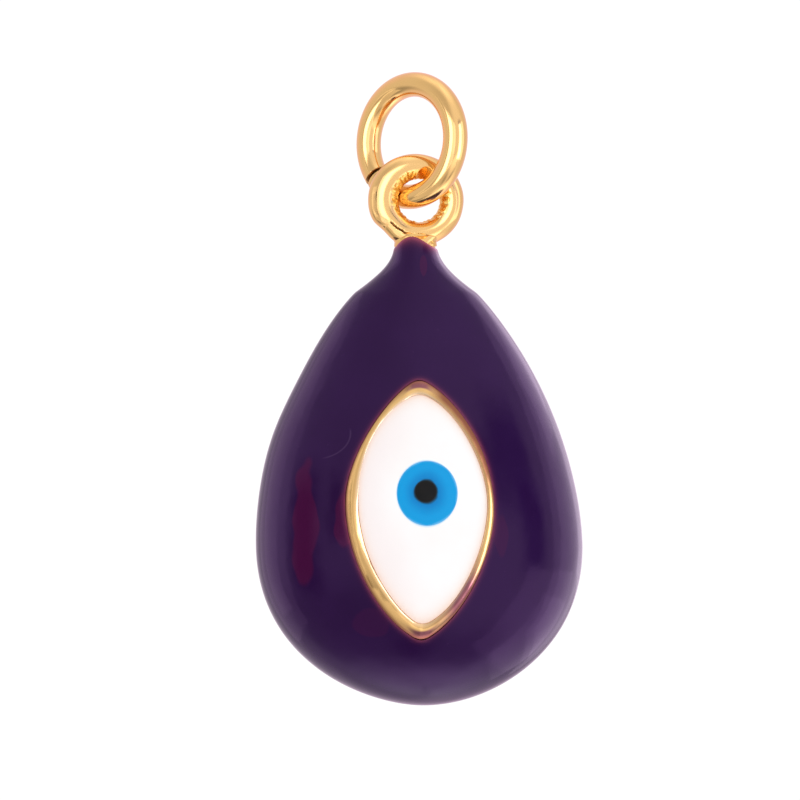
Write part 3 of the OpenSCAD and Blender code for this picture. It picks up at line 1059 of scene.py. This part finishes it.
def solder_web(material):
    """Solder that fills the corner between the loop's foot and the neck, front and back."""
    t = np.linspace(0, 1, 48)[:, None]
    z = np.linspace(16.62, 17.30, 48)[:, None]
    a = np.linspace(0, 2 * np.pi, 144, endpoint=False)
    width = 0.78 - 0.28 * t**2
    depth = 0.60 - 0.13 * smooth(t, 0.0, 0.6) - 0.15 * smooth(t, 0.5, 1.0)
    yaw = BAIL_YAW * t
    x = width * np.sign(np.sin(a)) * np.abs(np.sin(a)) ** 0.8
    y = -depth * np.sign(np.cos(a)) * np.abs(np.cos(a)) ** 0.8
    east = x * np.cos(yaw) - y * np.sin(yaw)
    north = x * np.sin(yaw) + y * np.cos(yaw)
    rings = xyz(east, north, z)
    rings[:, :, :2] *= 1 + 0.03 * noise_at(rings, 2.4, 11.0)[..., None]
    return closed_stack(("solder_web", "solder", "bail_solder"), rings, material)


# ---- jump ring ----
def jump_ring(material):
    """The split ring: round wire whose ends meet, a little out of line."""
    section = 64
    gap = SPLIT_GAP / RING_R
    theta = SPLIT_AT + gap / 2 + np.linspace(0, 2 * np.pi - gap, 561)
    phi = np.linspace(0, 2 * np.pi, section, endpoint=False)
    from_first, from_last = (theta - theta[0]) * RING_R, (theta[-1] - theta) * RING_R
    from_end = np.minimum(from_first, from_last)
    corner = np.clip(1 - from_end / END_BEVEL, 0, 1)
    wire = WIRE_R - END_BEVEL * (1 - np.sqrt(1 - corner**2))
    # One end stands a little forward of the other
    step = 0.03 * np.exp(-from_first / 0.9) - 0.02 * np.exp(-from_last / 0.7)
    # The cut is oblique: it runs further round on the ring's outside
    slant = CUT_SLANT * wire[:, None] * np.cos(phi) / RING_R * np.exp(-from_end / 0.5)[:, None]
    ct, st = np.cos(theta[:, None] + slant), np.sin(theta[:, None] + slant)
    r = RING_R + step[:, None] * 0.6 + wire[:, None] * np.cos(phi)
    y = -wire[:, None] * np.sin(phi) + step[:, None]
    points = capped(xyz(r * ct, y, r * st))
    lines = 0.5 + 0.5 * noise_at(xyz(np.cos(phi), np.sin(phi), 0), 6.0, 5.0)
    # Painted shade: the cut ends and end caps are darkened so the split reads dark
    dark = np.concatenate([[0.5], corner * 0.6, [0.5]])
    values = {
        "lines": np.repeat(lines[None], len(points), axis=0),
        "dark": np.repeat(dark[:, None], section, axis=1),
    }
    faces = sheet_faces(*points.shape[:2], wrap=True)
    names = ("jump_ring_wire", "jump_ring_wire", "jump_ring")
    return add_piece(names, ring_to_frame(points), faces, material, values, body="jump_ring")


# ---- surroundings ----
# Millimetres, but for the camera's roll. The field is what the camera sees across at the drop.
CAMERA_DISTANCE = 250.0
FIELD_WIDTH = 29.09
VIEW_CENTRE = np.array([-0.643, 0.0, 11.05])
VIEW_ROLL = math.radians(0.81)
SENSOR = 36.0
FLOOR_DROP = 40.0
FLOOR_RADIUS = 520.0


def add_camera():
    data = bpy.data.cameras.new("camera")
    data.sensor_width = SENSOR
    data.lens = CAMERA_DISTANCE * SENSOR / FIELD_WIDTH
    data.clip_start = 0.01
    data.clip_end = 10.0
    camera = show("camera", data)
    camera.location = (FOOT + VIEW_CENTRE - np.array([0, CAMERA_DISTANCE, 0])) * MM
    camera.rotation_euler = (math.radians(90), VIEW_ROLL, 0)
    bpy.context.scene.camera = camera


def add_floor():
    bm = bmesh.new()
    bmesh.ops.create_circle(bm, cap_ends=True, segments=96, radius=FLOOR_RADIUS * MM)
    mesh = bpy.data.meshes.new("floor")
    bm.to_mesh(mesh)
    bm.free()
    s = Shader("floor_paper")
    grain = s.noise(0.6, detail=3.0)
    s.set(Base_Color=s.blend(grain, (0.86, 0.86, 0.86), (0.90, 0.90, 0.90)), Roughness=0.9)
    s.set(Emission_Color=(1.0, 1.0, 1.0), Emission_Strength=0.3)
    mesh.materials.append(s.material)
    floor = show("floor", mesh)
    floor.location = (FOOT - np.array([0, 0, FLOOR_DROP])) * MM
    floor.visible_glossy = False


# Light tent: each patch is (azimuth, elevation, half width, half height, softness, radiance, colour).
# Azimuth 0 is the camera's side and grows to the right; angles are in degrees. The base is what the
# patches add to, and the paper is the plain ground that the camera sees in place of the tent.
TENT_BASE = 0.85
TENT_DARKEST = 0.02
PAPER_RADIANCE = 1.05
TENT_PATCHES = [
    (38, 0, 42, 90, 28, 0.22, (0.95, 0.97, 1.10)),
    (-38, 0, 28, 90, 22, -0.15, (1, 1, 1)),
    (-150, 0, 45, 60, 25, 1.00, (0.12, -0.02, 0.08)),
    (150, 0, 35, 60, 25, 1.00, (0.10, -0.04, 0.10)),
    (0, 90, 180, 25, 20, 0.50, (1, 1, 1)),
    (0, -90, 180, 24, 14, 1.25, (1, 0.94, 1)),
    (120, -62, 60, 14, 12, 0.50, (1, 0.94, 1)),
    (-45, -36, 50, 22, 12, -0.40, (1, 1, 1)),
    (20, -50, 35, 14, 12, -0.55, (1, 1, 1)),
    (-60, -1, 11, 16, 7, -0.70, (1, 1, 1)),
    (-38, 8, 3, 7, 4, -0.60, (1, 1, 1)),
    (59, 0, 9, 10, 5, -0.90, (1, 1, 0.8)),
    (50, 18, 14, 10, 6, -0.90, (1, 1, 0.8)),
]

# Panels: (name, azimuth, elevation, half width, half height, radiance, colour), in the same angles
PANEL_DISTANCE = 200.0
ENAMEL_PANELS = [
    ("key_wide", 114, 0, 36, 46, 0.8, (1, 0.86, 1)),
    ("key_middle", 114, -4, 26, 38, 0.8, (1, 0.86, 1)),
    ("key_narrow", 114, -4, 15, 30, 0.7, (1, 0.86, 1)),
    ("key_high", 124, 34, 24, 18, 0.9, (1, 0.80, 1)),
    ("key_low", 86, -36, 34, 24, 0.6, (1, 0.84, 1)),
    ("key_lower", 98, -42, 24, 20, 0.6, (1, 0.84, 1)),
    ("key_back", 150, 16, 20, 26, 0.6, (1, 0.85, 1)),
    ("side_wide", -104, 4, 28, 42, 0.5, (1, 0.78, 0.98)),
    ("side_narrow", -102, 6, 14, 34, 0.5, (1, 0.78, 0.98)),
]
ENAMEL_FILL = ("fill", 0, 20, 40, 30, 0.35, (1, 1, 0.97))
RING_PANELS = [
    ("strip_left", -26, 2, 30, 26, 0.75, (1, 1, 1.12)),
    ("strip_left_core", -40, 2, 12, 22, 1.8, (1, 1, 1.15)),
    ("strip_right", 60, 2, 26, 26, 0.7, (1, 1, 1.12)),
    ("strip_right_core", 50, 2, 10, 24, 1.9, (1, 1, 1.15)),
]
LOOP_PANELS = [
    ("loop_front", -9, 7, 22, 28, 0.9, (1, 1, 1.15)),
    ("loop_front_core", -4, 7, 12, 22, 1, (1, 1, 1.2)),
    ("loop_right", 64, 4, 22, 26, 0.8, (1, 1, 1.1)),
    ("loop_left", -60, 0, 18, 26, 0.35, (1, 1, 1.1)),
    ("loop_low", 8, -40, 34, 15, 0.75, (1, 1, 1.15)),
]
RIM_PANELS = [
    ("rim_line", 48, -2, 20, 22, 2.6, (1, 1, 1.1)),
    ("rim_side", -50, 0, 22, 24, 0.25, (1, 0.99, 0.97)),
]
METAL_PANELS = [
    ("metal_side", -63, 0, 11, 18, 0.6, (1, 0.99, 0.97)),
    ("metal_low", -15, -40, 52, 20, 0.46, (1, 0.98, 0.95)),
]


def lit_group(name, pieces):
    """A collection of the pieces that a panel lights."""
    group = bpy.data.collections.new(name)
    for piece in pieces:
        group.objects.link(piece)
    return group


def add_panel(panel, group, glossy=True):
    """A soft box that faces the drop. It lights only its group, and the camera doesn't see it."""
    name, azimuth, elevation, half_wide, half_high, radiance, colour = panel
    az, el = math.radians(azimuth), math.radians(elevation)
    away = Vector((math.sin(az) * math.cos(el), -math.cos(az) * math.cos(el), math.sin(el)))
    data = bpy.data.lights.new(name, "AREA")
    data.shape = "RECTANGLE"
    data.size = 2 * PANEL_DISTANCE * math.tan(math.radians(half_wide)) * MM
    data.size_y = 2 * PANEL_DISTANCE * math.tan(math.radians(half_high)) * MM
    data.energy = radiance * math.pi * data.size * data.size_y
    data.color = colour
    lamp = show(name, data)
    lamp.location = Vector((FOOT + VIEW_CENTRE) * MM) + away * PANEL_DISTANCE * MM
    lamp.rotation_euler = (-away).to_track_quat("-Z", "Y").to_euler()
    lamp.visible_camera = False
    lamp.visible_glossy = glossy
    lamp.light_linking.receiver_collection = group


def band(nodes, value, centre, half, soft, round_circle):
    """1 within half of the centre, fading to 0 over soft. All in degrees, but for the value."""
    centre, half, soft = math.radians(centre), math.radians(half), math.radians(soft)
    apart = nodes.math("ABSOLUTE", nodes.math("SUBTRACT", value, centre))
    if round_circle:
        other_way = nodes.math("ABSOLUTE", nodes.math("SUBTRACT", apart, 2 * math.pi))
        apart = nodes.math("MINIMUM", apart, other_way)
    return nodes.spread(apart, half + soft, max(half - soft, 0.0))


def add_tent():
    world = bpy.data.worlds.new("light_tent")
    bpy.context.scene.world = world
    world.use_nodes = True
    nodes = Nodes(world.node_tree)
    nodes.tree.nodes.clear()
    place = nodes.node("ShaderNodeTexCoord")
    parts = nodes.node("ShaderNodeSeparateXYZ")
    nodes.link(place.outputs["Generated"], parts.inputs[0])
    x, y, z = parts.outputs
    azimuth = nodes.math("ARCTAN2", x, nodes.math("MULTIPLY", y, -1.0))
    elevation = nodes.math("ARCSINE", z)
    channels = [TENT_BASE] * 3
    for az, el, wide, high, soft, radiance, colour in TENT_PATCHES:
        across = band(nodes, azimuth, az, wide, soft, True)
        up = band(nodes, elevation, el, high, soft, False)
        patch = nodes.math("MULTIPLY", across, up)
        for k in range(3):
            channels[k] = nodes.plus(channels[k], (patch, radiance * colour[k]))
    join = nodes.node("ShaderNodeCombineColor")
    for channel, socket in zip(channels, join.inputs):
        nodes.link(nodes.math("MAXIMUM", channel, TENT_DARKEST), socket)
    tent = nodes.node("ShaderNodeBackground")
    nodes.fill(tent, Color=join.outputs[0])
    paper = nodes.node("ShaderNodeBackground")
    nodes.fill(paper, Color=(1.0, 1.0, 1.0), Strength=PAPER_RADIANCE)
    seen = nodes.node("ShaderNodeLightPath")
    either = nodes.node("ShaderNodeMixShader")
    nodes.link(seen.outputs["Is Camera Ray"], either.inputs[0])
    nodes.link(tent.outputs[0], either.inputs[1])
    nodes.link(paper.outputs[0], either.inputs[2])
    out = nodes.node("ShaderNodeOutputWorld")
    nodes.fill(out, Surface=either.outputs[0])


# ---- put together ----
add_camera()
add_tent()
add_floor()

gold = polished_gold()
solder = solder_gold()
enamels = [
    enamel_coat(purple_enamel()),
    *eye_fillings(white_enamel(), blue_enamel(), black_enamel()),
]
rims = [eye_rim(gold)]
loops = [bail_loop(gold), neck_stub(gold), solder_web(solder)]
wires = [jump_ring(wire_gold())]

for soft_boxes, pieces in (
    (ENAMEL_PANELS, enamels), (RIM_PANELS, rims), (LOOP_PANELS, loops), (RING_PANELS, wires),
    (METAL_PANELS, rims + loops + wires),
):
    group = lit_group("lit_by_" + soft_boxes[0][0], pieces)
    for soft_box in soft_boxes:
        add_panel(soft_box, group)
add_panel(ENAMEL_FILL, lit_group("lit_by_fill", enamels), glossy=False)

for node_name, finish in (("front_shell", gold), ("back_shell", gold), ("seam_solder", solder)):
    for material_slot in frame["nodes"][node_name].material_slots:
        material_slot.material = finish

bpy.context.scene.view_settings.view_transform = "Standard"
